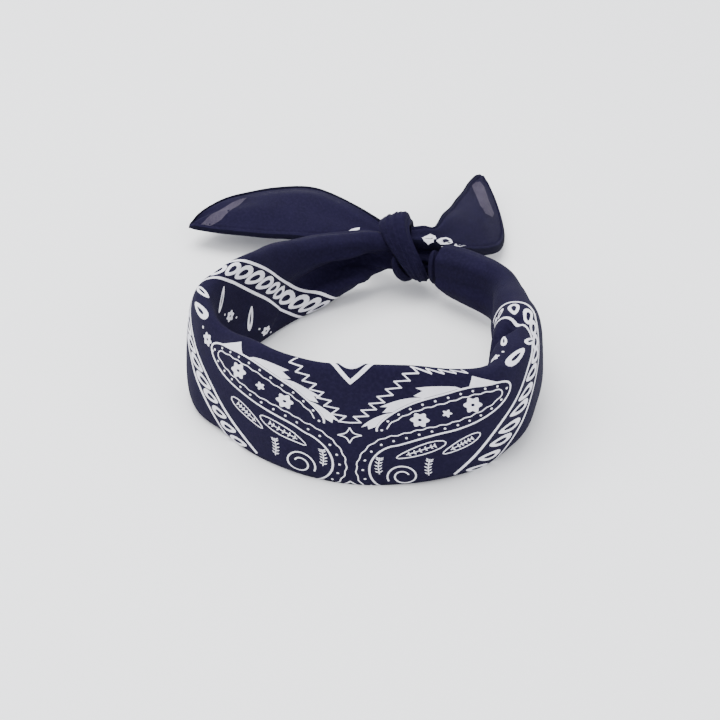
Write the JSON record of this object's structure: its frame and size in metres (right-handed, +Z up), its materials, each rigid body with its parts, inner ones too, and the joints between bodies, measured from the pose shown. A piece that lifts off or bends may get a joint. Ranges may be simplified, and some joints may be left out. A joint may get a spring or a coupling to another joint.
{
  "type": "bandana",
  "caption": "Square cotton bandana folded corner to corner into a band and tied in a ring with a square knot, two pointed tails behind.",
  "frame": {"origin": "middle of the bounding box's underside, on the table the ring stands on", "axes": "+Z up from the table, -Y towards the front stretch of the ring, +Y towards the knot and the tails, +X to the viewer's right"},
  "size_m": [0.1654, 0.2482, 0.0586],
  "materials": {
    "printed_cotton": "matt"
  },
  "bodies": {
    "root": {"band": "printed_cotton", "knot_wrap_over": "printed_cotton", "knot_wrap_under": "printed_cotton", "knot_wrap_side": "printed_cotton", "knot_core": "printed_cotton", "tail_left": "printed_cotton", "tail_right": "printed_cotton"}
  },
  "joints": []
}
